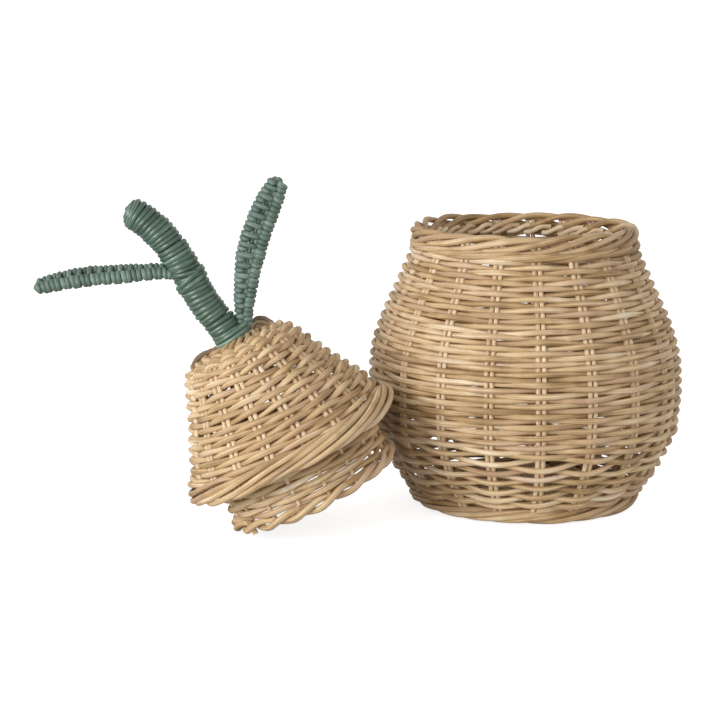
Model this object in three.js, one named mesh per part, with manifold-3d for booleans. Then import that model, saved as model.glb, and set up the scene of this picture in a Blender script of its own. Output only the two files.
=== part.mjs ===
import * as THREE from 'three';
import { mergeVertices } from 'three/addons/utils/BufferGeometryUtils.js';
import Module from 'manifold-3d';

// Pear-shaped cane basket with its lifted-off lid leaning on it. Millimetres, +Z up.

// Cane and clearances
const weaverDiameter = 3.3;
const stakeDiameter = 2.6;
const ribDiameter = 2.4;
const collarCaneDiameter = 2.4;
const clearance = 0.3;
const cutOverrun = 5;

// Basket body
const basketHeight = 160;
const footRadius = 64.5;
const footFlare = 4.3;
const bellyRadius = 90;
const bellyHeight = 70;
const neckRadius = 66;
const rimRadius = 65;
const footBorderHeight = 8.3;
const rimWaleHeight = 6.5;
const rimBorderHeight = 8;
const borderChamfer = 2;
const stakeCount = 19;
const firstStakeAngle = THREE.MathUtils.degToRad(-85.6);

// Base of the basket
const baseLift = 1.2;
const baseThickness = 6;
const baseDome = 1.5;
const baseStickDiameter = 2.6;
const baseStickCount = 4;

// Lid
const lidOverhang = 15.1;
const lidEdgeDraw = 1.5;
const lidTopRadius = 32.7;
const lidWallHeight = 61;
const lidEdgeHeight = 9;
const lidStakeCount = 17;
const firstLidStakeAngle = THREE.MathUtils.degToRad(-96.5);
const crownHeight = 10.5;
const crownThickness = 5;

// Collar under the lid
const collarRadius = 48.7;
const collarDepth = 25.5;
const collarBorderHeight = 5;
const collarBorderChamfer = 1.4;

// Lean of the lid against the basket
const lidTilt = THREE.MathUtils.degToRad(27.1);
const lidBearing = THREE.MathUtils.degToRad(207.4);

// Stem
const stemCoreRadius = 5.9;
const windingCaneDiameter = 2.4;
const windingTurns = 22;
const stemOffset = 3.6;
const stemRise = 86;
const stemReach = 16.4;

// Leaves
const leafHalfWidth = 6;
const leafWeaveThickness = 5.2;
const sideLeafReach = 63.8;
const sideLeafRise = 23.3;
const sideLeafHeight = 47.7;
const uprightLeafReach = 51.9;
const uprightLeafRise = 62;

// Facets
const shellRings = 7;
const lidShellRings = 4;
const ringFacets = 38;
const lidRingFacets = 34;
const tubeSides = 6;
const stepsPerTurn = 12;
const ribSteps = 18;
const leafSteps = 8;
const coreSides = 8;
const coreSteps = 12;
const profileSamples = 240;

// Shares of the outlines, as [height share, share of the change in radius]
const shoulderShares = [[0.3, 0.08], [0.48, 0.27], [0.64, 0.475], [0.775, 0.665], [0.905, 0.85], [1, 1]];
const flareShares = [0, 0.25, 0.5, 0.75, 1];
const lidWallShares = [
  [0, 0], [0.16, 0.125], [0.3, 0.23], [0.46, 0.39], [0.62, 0.6], [0.79, 0.785], [0.9, 0.89], [1, 1],
];
const crownShares = [[1, 0], [0.9, 0.45], [0.66, 0.82], [0, 1]];
const stemShares = [
  [0, 0], [0.06, 0.13], [0.13, 0.25], [0.17, 0.43], [0.2, 0.59], [0.36, 0.77], [0.69, 0.92], [1, 1],
];
const sideLeafShares = [[0, 0], [0.09, 0.17], [0.32, 0.44], [0.56, 0.71], [0.81, 0.9], [1, 1]];
const uprightLeafShares = [
  [0, 0], [0.04, 0.11], [0.19, 0.3], [0.34, 0.48], [0.52, 0.64], [0.72, 0.79], [0.88, 0.9], [1, 1],
];
const leadTurnShare = 0.068;
const tailTurnShare = 0.125;
const weaveShares = [0.14, 0.93];
const leafWidthShares = [
  [0, 0.42], [0.1, 0.5], [0.26, 0.8], [0.42, 1], [0.6, 0.97], [0.77, 0.94], [0.9, 0.85], [0.97, 0.5],
  [1, 0.1],
];

// Sizes that follow from the ones above
const wallBottomRadius = footRadius + footFlare;
const lidRimRadius = collarRadius + lidOverhang;
const lidFootRadius = lidRimRadius - lidEdgeDraw;
const wallThickness = 2 * weaverDiameter + stakeDiameter;
const collarThickness = 3 * collarCaneDiameter;
const stakeDepth = weaverDiameter + stakeDiameter / 2;
const grooveDepth = weaverDiameter + stakeDiameter + clearance;
const wallBottom = footBorderHeight + clearance;
const wallTop = basketHeight - rimBorderHeight - rimWaleHeight - 2 * clearance;

const wasm = await Module();
wasm.setup();

// Finishes
function finish(color, roughness) {
  return new THREE.MeshStandardMaterial({ color, roughness, metalness: 0 });
}
const honeyCane = finish(0xc49f68, 0.6);
const paleCane = finish(0xd9bd8c, 0.55);
const shadedCane = finish(0xb08a58, 0.65);
const greenCane = finish(0x4e8468, 0.42);
const darkGreenCane = finish(0x3c6b53, 0.45);

function named(name, geometry, material) {
  const mesh = new THREE.Mesh(geometry, material);
  mesh.name = name;
  return mesh;
}

// Joins and cuts of closed shapes
function toSolid(geometry) {
  const bare = geometry.clone();
  bare.deleteAttribute('normal');
  bare.deleteAttribute('uv');
  const merged = mergeVertices(bare, clearance / 1000);
  return new wasm.Manifold(new wasm.Mesh({
    numProp: 3,
    vertProperties: new Float32Array(merged.attributes.position.array),
    triVerts: new Uint32Array(merged.index.array),
  }));
}

function fromSolid(solid) {
  const mesh = solid.getMesh();
  const geometry = new THREE.BufferGeometry();
  geometry.setAttribute('position', new THREE.BufferAttribute(new Float32Array(mesh.vertProperties), 3));
  geometry.setIndex(new THREE.BufferAttribute(new Uint32Array(mesh.triVerts), 1));
  geometry.computeVertexNormals();
  return geometry;
}

// Outline of a woven wall: its outer radius at each height and the slope of its face
class WallOutline {
  constructor(points) {
    this.samples = new THREE.SplineCurve(points).getPoints(profileSamples);
  }

  segmentAt(height) {
    const last = this.samples.length - 2;
    let index = this.samples.findIndex((point) => point.y > height) - 1;
    if (index === -2) index = last;
    index = Math.max(0, Math.min(last, index));
    return [this.samples[index], this.samples[index + 1]];
  }

  radiusAt(height, depth = 0) {
    const [low, high] = this.segmentAt(height);
    const share = (height - low.y) / (high.y - low.y);
    const radius = low.x + (high.x - low.x) * share;
    const slope = new THREE.Vector2().subVectors(high, low).normalize();
    return radius - depth / slope.y;
  }
}

// Basket wall: a quarter-round flare up to the belly, then a shoulder drawn in to the neck
function basketOutline() {
  const points = flareShares.map((share) => {
    const radius = bellyRadius - (bellyRadius - wallBottomRadius) * (1 - share) ** 2;
    return new THREE.Vector2(radius, wallBottom + (bellyHeight - wallBottom) * share);
  });
  for (const [heightShare, drawShare] of shoulderShares) {
    const radius = bellyRadius - (bellyRadius - neckRadius) * drawShare;
    points.push(new THREE.Vector2(radius, bellyHeight + (wallTop - bellyHeight) * heightShare));
  }
  return new WallOutline(points);
}

// Lid wall: a slightly convex cone from the edge up to the crown
function lidOutline() {
  return new WallOutline(lidWallShares.map(([heightShare, drawShare]) => {
    const radius = lidFootRadius - (lidFootRadius - lidTopRadius) * drawShare;
    return new THREE.Vector2(radius, lidWallHeight * heightShare);
  }));
}

function ringHeights(low, high, rings) {
  return Array.from({ length: rings + 1 }, (_, ring) => low + (high - low) * ring / rings);
}

// A closed body through a row of sections with like corners
function lofted(sections) {
  const sides = sections[0].length;
  const indices = [];
  for (let ring = 0; ring < sections.length - 1; ring++) {
    for (let index = 0; index < sides; index++) {
      const a = ring * sides + index;
      const b = ring * sides + (index + 1) % sides;
      indices.push(a, b, b + sides, a, b + sides, a + sides);
    }
  }
  const end = (sections.length - 1) * sides;
  const faces = THREE.ShapeUtils.triangulateShape(flattened(sections[0]), []);
  for (const [a, b, c] of faces) {
    indices.push(a, c, b);
    indices.push(end + a, end + b, end + c);
  }
  const geometry = new THREE.BufferGeometry().setFromPoints(sections.flat());
  geometry.setIndex(indices);
  geometry.computeVertexNormals();
  return geometry;
}

// A section's corners in its own plane, anticlockwise as seen from the far end of the loft
function flattened(section) {
  const middle = new THREE.Vector3();
  for (const corner of section) middle.addScaledVector(corner, 1 / section.length);
  const first = new THREE.Vector3().subVectors(section[0], middle).normalize();
  const normal = new THREE.Vector3();
  section.forEach((corner, index) => {
    const next = section[(index + 1) % section.length];
    const arm = new THREE.Vector3().subVectors(corner, middle);
    normal.add(arm.cross(new THREE.Vector3().subVectors(next, middle)));
  });
  const second = new THREE.Vector3().crossVectors(normal.normalize(), first);
  return section.map((corner) => {
    const arm = new THREE.Vector3().subVectors(corner, middle);
    return new THREE.Vector2(arm.dot(first), arm.dot(second));
  });
}

// A woven wall with one open channel for each stake, closed at both ends by flat rings
function grooved(outline, low, high, rings, count, thickness, depth, width) {
  const positions = [];
  const indices = [];
  const outerCount = 5 * count;
  const innerCount = 2 * count;
  const sector = 2 * Math.PI / count;
  const push = (radius, angle, height) => {
    positions.push(radius * Math.cos(angle), radius * Math.sin(angle), height);
  };
  for (const height of ringHeights(low, high, rings)) {
    const outer = outline.radiusAt(height);
    const floor = outline.radiusAt(height, depth);
    const inner = outline.radiusAt(height, thickness);
    const floorHalf = Math.asin(width / 2 / floor);
    const outerHalf = Math.asin(width / 2 / outer);
    for (let index = 0; index < count; index++) {
      const angle = index * sector;
      push(floor, angle - floorHalf, height);
      push(floor, angle + floorHalf, height);
      push(outer, angle + outerHalf, height);
      push(outer, angle + sector / 2, height);
      push(outer, angle + sector - outerHalf, height);
    }
    for (let index = 0; index < innerCount; index++) push(inner, index * sector / 2, height);
  }
  const stride = outerCount + innerCount;
  const outerAt = (ring, index) => ring * stride + (index % outerCount);
  const innerAt = (ring, index) => ring * stride + outerCount + (index % innerCount);
  for (let ring = 0; ring < rings; ring++) {
    for (let index = 0; index < outerCount; index++) {
      indices.push(outerAt(ring, index), outerAt(ring, index + 1), outerAt(ring + 1, index + 1));
      indices.push(outerAt(ring, index), outerAt(ring + 1, index + 1), outerAt(ring + 1, index));
    }
    for (let index = 0; index < innerCount; index++) {
      indices.push(innerAt(ring, index), innerAt(ring + 1, index + 1), innerAt(ring, index + 1));
      indices.push(innerAt(ring, index), innerAt(ring + 1, index), innerAt(ring + 1, index + 1));
    }
  }
  for (let index = 0; index < count; index++) {
    const ends = [
      ['inner', 0, 'outer', 1, 'outer', 0],
      ['inner', 0, 'outer', 2, 'outer', 1],
      ['inner', 0, 'inner', 1, 'outer', 2],
      ['inner', 1, 'outer', 3, 'outer', 2],
      ['inner', 1, 'outer', 4, 'outer', 3],
      ['inner', 1, 'inner', 2, 'outer', 4],
      ['inner', 2, 'outer', 5, 'outer', 4],
    ];
    for (const [sideA, a, sideB, b, sideC, c] of ends) {
      const corner = (ring, side, offset) => (side === 'outer'
        ? outerAt(ring, 5 * index + offset) : innerAt(ring, 2 * index + offset));
      indices.push(corner(0, sideA, a), corner(0, sideB, b), corner(0, sideC, c));
      indices.push(corner(rings, sideA, a), corner(rings, sideC, c), corner(rings, sideB, b));
    }
  }
  const geometry = new THREE.BufferGeometry();
  geometry.setAttribute('position', new THREE.Float32BufferAttribute(positions, 3));
  geometry.setIndex(indices);
  geometry.computeVertexNormals();
  return geometry;
}

// A round border or band: its section has eight corners and flat upper and lower faces
function band(low, high, outerLow, outerHigh, thickness, chamfer, facets) {
  const section = [
    new THREE.Vector2(outerLow - thickness + chamfer, low),
    new THREE.Vector2(outerLow - chamfer, low),
    new THREE.Vector2(outerLow, low + chamfer),
    new THREE.Vector2(outerHigh, high - chamfer),
    new THREE.Vector2(outerHigh - chamfer, high),
    new THREE.Vector2(outerHigh - thickness + chamfer, high),
    new THREE.Vector2(outerHigh - thickness, high - chamfer),
    new THREE.Vector2(outerLow - thickness, low + chamfer),
  ];
  return turned([...section, section[0]], facets);
}

// A shape turned round the upright axis
function turned(section, facets) {
  return new THREE.LatheGeometry(section, facets).rotateX(Math.PI / 2);
}

// Outline of one round cane
function caneSection(radius, sides) {
  const corners = [];
  for (let index = 0; index < sides; index++) {
    const angle = 2 * Math.PI * index / sides;
    corners.push(new THREE.Vector2(radius * Math.cos(angle), radius * Math.sin(angle)));
  }
  return new THREE.Shape(corners);
}

function swept(section, path, steps) {
  return new THREE.ExtrudeGeometry(section, { extrudePath: path, steps, bevelEnabled: false });
}

// Two canes side by side in their channel, from the lower border to the upper one
function stakePair(outline, low, high, rings) {
  const radius = stakeDiameter / 2;
  const corners = [[-2, 0], [-1, 1], [0, 0.5], [1, 1], [2, 0], [1, -1], [0, -0.5], [-1, -1]];
  const sections = ringHeights(low, high, rings).map((height) => corners.map(([across, out]) => (
    new THREE.Vector3(outline.radiusAt(height, stakeDepth - out * radius), across * radius, height))));
  return lofted(sections);
}

// Body of the basket
function basketBody() {
  const group = new THREE.Group();
  const outline = basketOutline();
  const grooveWidth = 2 * stakeDiameter + 2 * clearance;
  const weave = grooved(outline, wallBottom, wallTop, shellRings, stakeCount, wallThickness,
    grooveDepth, grooveWidth);
  const wall = new THREE.Group();
  wall.add(named('side_weave', weave, honeyCane));
  const stake = stakePair(outline, wallBottom, wallTop, shellRings);
  for (let index = 0; index < stakeCount; index++) {
    const mesh = named(`side_stake_pair_${index + 1}`, stake, paleCane);
    mesh.rotation.z = 2 * Math.PI * index / stakeCount;
    wall.add(mesh);
  }
  wall.rotation.z = firstStakeAngle;
  group.add(wall);
  group.add(named('foot_border', band(0, footBorderHeight, footRadius, wallBottomRadius,
    wallThickness, borderChamfer, ringFacets), shadedCane));
  const waleLow = wallTop + clearance;
  group.add(named('rim_wale', band(waleLow, waleLow + rimWaleHeight, neckRadius, rimRadius,
    wallThickness, borderChamfer, ringFacets), shadedCane));
  group.add(named('rim_border', band(basketHeight - rimBorderHeight, basketHeight, rimRadius, rimRadius,
    wallThickness, borderChamfer, ringFacets), honeyCane));
  return group;
}

// Woven base with its crossed sticks running through it
function crossedSticks(radius, reach, height) {
  const parts = [];
  for (let index = 0; index < baseStickCount; index++) {
    const half = new THREE.Vector3(reach, 0, 0).applyAxisAngle(
      new THREE.Vector3(0, 0, 1), Math.PI * (index + 0.5) / baseStickCount);
    const lift = new THREE.Vector3(0, 0, height);
    const path = new THREE.LineCurve3(half.clone().negate().add(lift), half.clone().add(lift));
    parts.push(toSolid(swept(caneSection(radius, tubeSides), path, 1)));
  }
  return parts.reduce((joined, part) => joined.add(part));
}

function basketBase() {
  const group = new THREE.Group();
  const seatShare = baseLift / (footBorderHeight - 2 * borderChamfer);
  const innerFace = footRadius - wallThickness + (wallBottomRadius - footRadius) * seatShare;
  const edge = innerFace - clearance * Math.SQRT2;
  const section = [
    new THREE.Vector2(0, baseLift + baseDome),
    new THREE.Vector2(edge - borderChamfer, baseLift),
    new THREE.Vector2(edge, baseLift + borderChamfer),
    new THREE.Vector2(edge, baseLift + baseThickness - borderChamfer),
    new THREE.Vector2(edge - borderChamfer, baseLift + baseThickness),
    new THREE.Vector2(0, baseLift + baseThickness + baseDome),
  ];
  const stickHeight = baseLift + baseThickness / 2 + baseDome / 2;
  const stickRadius = baseStickDiameter / 2;
  const sticks = crossedSticks(stickRadius, edge, stickHeight);
  const channels = crossedSticks(stickRadius + clearance, edge + cutOverrun, stickHeight);
  const disc = toSolid(turned(section, ringFacets)).subtract(channels);
  group.add(named('base_weave', fromSolid(disc), honeyCane));
  group.add(named('base_cross_sticks', fromSolid(sticks), paleCane));
  return group;
}

// Wall, edge and stakes of the lid; its own axis is upright here and its edge lies at height 0
function lidShell(outline) {
  const group = new THREE.Group();
  const wallLow = lidEdgeHeight + clearance;
  const grooveWidth = 2 * stakeDiameter + 2 * clearance;
  group.add(named('lid_weave', grooved(outline, wallLow, lidWallHeight, lidShellRings, lidStakeCount,
    wallThickness, grooveDepth, grooveWidth), honeyCane));
  const stake = stakePair(outline, wallLow, lidWallHeight, lidShellRings);
  for (let index = 0; index < lidStakeCount; index++) {
    const mesh = named(`lid_stake_pair_${index + 1}`, stake, paleCane);
    mesh.rotation.z = 2 * Math.PI * index / lidStakeCount;
    group.add(mesh);
  }
  group.add(named('lid_edge_border', band(0, lidEdgeHeight, lidRimRadius, outline.radiusAt(lidEdgeHeight),
    wallThickness, borderChamfer, lidRingFacets), shadedCane));
  group.rotation.z = firstLidStakeAngle;
  return group;
}

// Crown: the domed top of the lid, with the hole that the stem stands in
function lidCrown() {
  const low = lidWallHeight + clearance;
  const outer = crownShares.map(([across, up]) => new THREE.Vector2(
    lidTopRadius * across, low + crownHeight * up));
  const inner = crownShares.map(([across, up]) => new THREE.Vector2(
    (lidTopRadius - crownThickness) * across, low + (crownHeight - crownThickness) * up));
  const dome = toSolid(turned([...inner.reverse(), ...outer], lidRingFacets));
  const holeRadius = stemCoreRadius + clearance;
  const hole = swept(caneSection(holeRadius, coreSides), new THREE.LineCurve3(
    new THREE.Vector3(0, 0, low - cutOverrun), new THREE.Vector3(0, 0, low + crownHeight + cutOverrun)), 1);
  hole.applyMatrix4(new THREE.Matrix4().makeTranslation(-stemOffset, 0, 0));
  return named('lid_crown', fromSolid(dome.subtract(toSolid(hole))), honeyCane);
}

// Collar that drops into the basket's mouth: its wall reaches up to the inside of the lid wall
function lidCollar(outline) {
  const group = new THREE.Group();
  let seat = lidEdgeHeight;
  const seatStep = clearance / 4;
  while (outline.radiusAt(seat + seatStep, wallThickness) > collarRadius + clearance) seat += seatStep;
  const wallLow = collarBorderHeight - collarDepth + clearance;
  const straight = new WallOutline([
    new THREE.Vector2(collarRadius, wallLow),
    new THREE.Vector2(collarRadius, seat),
  ]);
  const grooveWidth = collarCaneDiameter + 2 * clearance;
  const depth = 2 * collarCaneDiameter + clearance;
  group.add(named('collar_weave', grooved(straight, wallLow, seat, 1, lidStakeCount, collarThickness,
    depth, grooveWidth), honeyCane));
  const border = toSolid(band(-collarDepth, collarBorderHeight - collarDepth, collarRadius, collarRadius,
    collarThickness, collarBorderChamfer, lidRingFacets));
  const stakeRadius = collarCaneDiameter / 2;
  const axisRadius = collarRadius - collarCaneDiameter - stakeRadius;
  const frame = [border];
  for (let index = 0; index < lidStakeCount; index++) {
    const angle = 2 * Math.PI * index / lidStakeCount;
    const foot = new THREE.Vector3(axisRadius, 0, wallLow - collarBorderHeight / 2);
    const head = new THREE.Vector3(axisRadius, 0, seat);
    const path = new THREE.LineCurve3(foot, head);
    frame.push(toSolid(swept(caneSection(stakeRadius, tubeSides), path, 1).rotateZ(angle)));
  }
  const joined = frame.reduce((sum, part) => sum.add(part));
  group.add(named('collar_stakes_and_border', fromSolid(joined), paleCane));
  group.rotation.z = firstLidStakeAngle;
  return group;
}

// Route of the stem, standing on the crown and bending over at its tip
function stemRoute(foot) {
  return new THREE.CatmullRomCurve3(stemShares.map(([reach, rise]) => new THREE.Vector3(
    -stemOffset - stemReach * reach, 0, foot + stemRise * rise)));
}

// Winding: one cane wound round the stem, its ends straight for one diameter and square to the crown
function stemWinding(route) {
  const caneRadius = windingCaneDiameter / 2;
  const radius = stemCoreRadius + clearance + caneRadius;
  const length = route.getLength();
  const straightShare = windingCaneDiameter / length;
  const points = [];
  const place = (share, angle) => {
    const centre = route.getPointAt(share);
    const along = route.getTangentAt(share);
    const side = new THREE.Vector3(0, 1, 0);
    const across = new THREE.Vector3().crossVectors(side, along).normalize();
    points.push(centre.addScaledVector(side, radius * Math.cos(angle))
      .addScaledVector(across, radius * Math.sin(angle)));
  };
  const low = (clearance + caneRadius) / length;
  place(clearance / length, 0);
  place(low + straightShare / 2, 0);
  const first = low + 1.5 * straightShare;
  const last = 1 - 2 * straightShare;
  const wound = (windingTurns - 1) * stepsPerTurn;
  for (let step = 0; step <= wound; step++) {
    const turn = leadTurnShare + step / stepsPerTurn;
    place(first + (last - first) * step / wound, 2 * Math.PI * turn);
  }
  const lastAngle = 2 * Math.PI * (leadTurnShare + windingTurns - 1 + tailTurnShare);
  place(last + straightShare, lastAngle);
  place(1, lastAngle);
  const path = new THREE.CatmullRomCurve3(points);
  path.arcLengthDivisions = 4 * points.length;
  printLeastGap('stem_winding', path, length / windingTurns);
  return swept(caneSection(caneRadius, tubeSides), path, windingTurns * stepsPerTurn);
}

// Least gap of the winding to itself, measured on points along its centre line
function printLeastGap(name, path, pitch) {
  const turnLength = 2 * Math.PI * (stemCoreRadius + clearance + windingCaneDiameter / 2);
  const total = path.getLength();
  const count = Math.round(windingTurns * stepsPerTurn * 2);
  const points = path.getSpacedPoints(count);
  const apart = Math.ceil(0.5 * turnLength / (total / count));
  let least = Infinity;
  for (let a = 0; a < points.length; a++) {
    for (let b = a + apart; b < points.length; b++) {
      least = Math.min(least, points[a].distanceTo(points[b]) - windingCaneDiameter);
    }
  }
  console.log(`${name}: pitch ${pitch.toFixed(2)} mm, least gap to itself ${least.toFixed(2)} mm`);
}

// Frame of a leaf: one cane bent round the tip and a midrib between its two sides
class Leaf {
  constructor(points, roll, halfWidth) {
    this.centre = new THREE.CatmullRomCurve3(points);
    this.roll = roll;
    this.halfWidth = halfWidth;
    const widths = leafWidthShares.map(([along, wide]) => new THREE.Vector2(along, wide));
    this.widths = new THREE.SplineCurve(widths);
  }

  widthAt(share) {
    const samples = this.widths.getPoints(profileSamples);
    const index = Math.max(1, samples.findIndex((point) => point.x >= share));
    return this.halfWidth * samples[index].y;
  }

  across(share) {
    const along = this.centre.getTangentAt(share);
    const level = new THREE.Vector3(0, 1, 0);
    const inPlane = new THREE.Vector3().crossVectors(along, level).normalize();
    return level.multiplyScalar(Math.cos(this.roll)).addScaledVector(inPlane, Math.sin(this.roll));
  }

  edge(share, side) {
    return this.centre.getPointAt(share).addScaledVector(this.across(share), side * this.widthAt(share));
  }

  outerRib() {
    const points = [];
    for (let step = 0; step <= leafSteps; step++) points.push(this.edge(step / leafSteps, 1));
    for (let step = leafSteps; step >= 0; step--) points.push(this.edge(step / leafSteps, -1));
    return new THREE.CatmullRomCurve3(points, false, 'centripetal');
  }

  frame(radius) {
    const section = caneSection(radius, tubeSides);
    const loop = toSolid(swept(section, this.outerRib(), ribSteps));
    const midrib = toSolid(swept(section, this.centre, leafSteps));
    return loop.add(midrib);
  }

  weave() {
    const corners = [[1, 0.5], [0, 1], [-1, 0.5], [-1, -0.5], [0, -1], [1, -0.5]];
    const sections = ringHeights(weaveShares[0], weaveShares[1], leafSteps).map((share) => {
      const across = this.across(share);
      const up = new THREE.Vector3().crossVectors(this.centre.getTangentAt(share), across);
      const half = this.widthAt(share) - ribDiameter / 4;
      return corners.map(([wide, thick]) => this.centre.getPointAt(share)
        .addScaledVector(across, wide * half)
        .addScaledVector(up, thick * leafWeaveThickness / 2));
    });
    return toSolid(lofted(sections));
  }
}

// The main body that a cut leaves
function largest(solid) {
  return solid.decompose().reduce((most, body) => (body.volume() > most.volume() ? body : most));
}

function leafMeshes(name, leaf) {
  const frame = leaf.frame(ribDiameter / 2);
  const room = leaf.frame(ribDiameter / 2 + clearance);
  return [
    named(`${name}_ribs`, fromSolid(frame), darkGreenCane),
    named(`${name}_weave`, fromSolid(largest(leaf.weave().subtract(room))), greenCane),
  ];
}

// Stem with its winding and the two leaves
function stemAndLeaves() {
  const group = new THREE.Group();
  const foot = lidWallHeight + clearance + crownHeight;
  const route = stemRoute(foot);
  const corePath = new THREE.CatmullRomCurve3([
    new THREE.Vector3(-stemOffset, 0, foot - crownHeight),
    ...route.points,
  ]);
  const core = swept(caneSection(stemCoreRadius, coreSides), corePath, coreSteps);
  group.add(named('stem_core', core, darkGreenCane));
  group.add(named('stem_winding', stemWinding(route), greenCane));
  const stemRadius = stemCoreRadius + clearance + windingCaneDiameter;
  const stemLean = stemReach * stemShares[4][0];
  const sideFoot = new THREE.Vector3(-stemOffset - stemLean - stemRadius - ribDiameter / 4 - clearance, 0,
    foot + sideLeafHeight);
  const sideLeaf = new Leaf(sideLeafShares.map(([reach, rise]) => new THREE.Vector3(
    sideFoot.x - sideLeafReach * reach, 0, sideFoot.z + sideLeafRise * rise)), 0, leafHalfWidth);
  group.add(...leafMeshes('side_leaf', sideLeaf));
  const uprightFoot = new THREE.Vector3(
    stemRadius + leafHalfWidth * leafWidthShares[0][1] + ribDiameter / 2 + 2 * clearance - stemOffset, 0,
    foot + clearance);
  const uprightLeaf = new Leaf(uprightLeafShares.map(([reach, rise]) => new THREE.Vector3(
    uprightFoot.x + uprightLeafReach * reach, 0, uprightFoot.z + uprightLeafRise * rise)),
  Math.PI / 2, leafHalfWidth);
  group.add(...leafMeshes('upright_leaf', uprightLeaf));
  return group;
}

// Distance of the leaning lid from the basket's axis: its edge all but touches the belly
function lidDistance(wall, seatHeight) {
  const lean = new THREE.Euler(0, -lidTilt, 0);
  const reachAt = (distance) => {
    let least = Infinity;
    for (let step = 0; step < profileSamples; step++) {
      const angle = 2 * Math.PI * step / profileSamples;
      for (const height of [0, lidEdgeHeight]) {
        const radius = lidRimRadius - (height > 0 ? 0 : borderChamfer / 2);
        const point = new THREE.Vector3(radius * Math.cos(angle), radius * Math.sin(angle), height);
        point.applyEuler(lean);
        point.x += distance * Math.cos(lidBearing);
        point.y += distance * Math.sin(lidBearing);
        point.z += seatHeight;
        const away = Math.hypot(point.x, point.y);
        if (point.z > wallBottom && point.z < wallTop) {
          least = Math.min(least, away - wall.radiusAt(point.z));
        }
      }
    }
    return least;
  };
  let near = bellyRadius;
  let far = bellyRadius + 2 * lidRimRadius;
  for (let round = 0; round < profileSamples / 8; round++) {
    const middle = (near + far) / 2;
    if (reachAt(middle) > clearance) far = middle;
    else near = middle;
  }
  return far;
}

// The whole lid, tilted and set down on the edge of its collar
function leaningLid() {
  const outline = lidOutline();
  const lid = new THREE.Group();
  lid.add(lidShell(outline));
  lid.add(lidCrown());
  lid.add(lidCollar(outline));
  lid.add(stemAndLeaves());
  const edgeRadius = collarRadius - collarBorderChamfer;
  const lowEdge = Math.max(
    edgeRadius * Math.sin(lidTilt) + collarDepth * Math.cos(lidTilt),
    collarRadius * Math.sin(lidTilt) + (collarDepth - collarBorderChamfer) * Math.cos(lidTilt));
  const distance = lidDistance(basketOutline(), lowEdge);
  lid.rotation.y = -lidTilt;
  lid.position.set(distance * Math.cos(lidBearing), distance * Math.sin(lidBearing), lowEdge);
  return lid;
}

// The whole part, centred over its footprint and standing at height 0
const wovenBasket = new THREE.Group();
wovenBasket.add(basketBody());
wovenBasket.add(basketBase());
wovenBasket.add(leaningLid());
wovenBasket.updateMatrixWorld(true);
const reach = new THREE.Box3().setFromObject(wovenBasket, true);
const middle = reach.getCenter(new THREE.Vector3());
wovenBasket.position.set(-middle.x, -middle.y, -reach.min.z);
wovenBasket.updateMatrixWorld(true);

export default wovenBasket;
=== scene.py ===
from math import pi, radians

import bpy
import numpy as np
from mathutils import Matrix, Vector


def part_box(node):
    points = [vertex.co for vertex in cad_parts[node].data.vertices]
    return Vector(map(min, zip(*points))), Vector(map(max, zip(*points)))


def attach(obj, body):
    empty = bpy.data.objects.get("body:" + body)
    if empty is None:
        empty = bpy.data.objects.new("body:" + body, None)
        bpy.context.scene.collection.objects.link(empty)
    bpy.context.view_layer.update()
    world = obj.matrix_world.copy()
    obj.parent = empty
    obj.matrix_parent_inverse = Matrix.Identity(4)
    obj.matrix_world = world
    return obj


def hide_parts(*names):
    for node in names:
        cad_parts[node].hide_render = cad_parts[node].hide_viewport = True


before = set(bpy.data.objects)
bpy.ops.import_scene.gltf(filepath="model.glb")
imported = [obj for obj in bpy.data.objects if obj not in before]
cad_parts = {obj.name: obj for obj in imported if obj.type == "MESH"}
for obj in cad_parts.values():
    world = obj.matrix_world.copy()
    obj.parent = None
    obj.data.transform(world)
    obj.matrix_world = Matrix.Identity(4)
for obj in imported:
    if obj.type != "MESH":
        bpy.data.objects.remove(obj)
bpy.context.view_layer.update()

# Camera
# Stands in front of the basket, a little to the left of its axis and above it, and looks slightly down.
# Its lens and place were fitted to the mouth, the belly, the foot and the lid's edge in the photograph.
camera_aside = 0.0953
camera_away = 1.1654
camera_height = 0.3002
look_down = 10.64
eye = bpy.data.cameras.new("camera")
eye.lens = 102.85
eye.sensor_width = 36
eye.clip_end = 200
foot_low, foot_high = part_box("foot_border")
axis_x = (foot_low.x + foot_high.x) / 2
axis_y = (foot_low.y + foot_high.y) / 2
camera = bpy.data.objects.new("camera", eye)
camera.location = (axis_x - camera_aside, axis_y - camera_away, camera_height)
camera.rotation_euler = (radians(90 - look_down), 0, 0)
bpy.context.scene.collection.objects.link(camera)
bpy.context.scene.camera = camera


# Base sticks
# Four canes laid across four others and fanned out into sixteen arms, the skeleton the base is woven on.
# Peeled rattan core, pale and satin, with fine fibres running along each cane.
def add(tree, kind, inputs=(), **settings):
    """Adds a node; each input is a value, or the socket that feeds it."""
    made = tree.nodes.new(kind)
    for name, value in settings.items():
        setattr(made, name, value)
    for key, value in dict(inputs).items():
        if isinstance(value, bpy.types.NodeSocket):
            tree.links.new(value, made.inputs[key])
        else:
            made.inputs[key].default_value = value
    return made


def linear(code):
    """The linear colour of an sRGB hex code."""
    parts = [int(code[i:i + 2], 16) / 255 for i in (0, 2, 4)]
    return tuple(c / 12.92 if c <= 0.04045 else ((c + 0.055) / 1.055) ** 2.4 for c in parts) + (1,)


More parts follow.
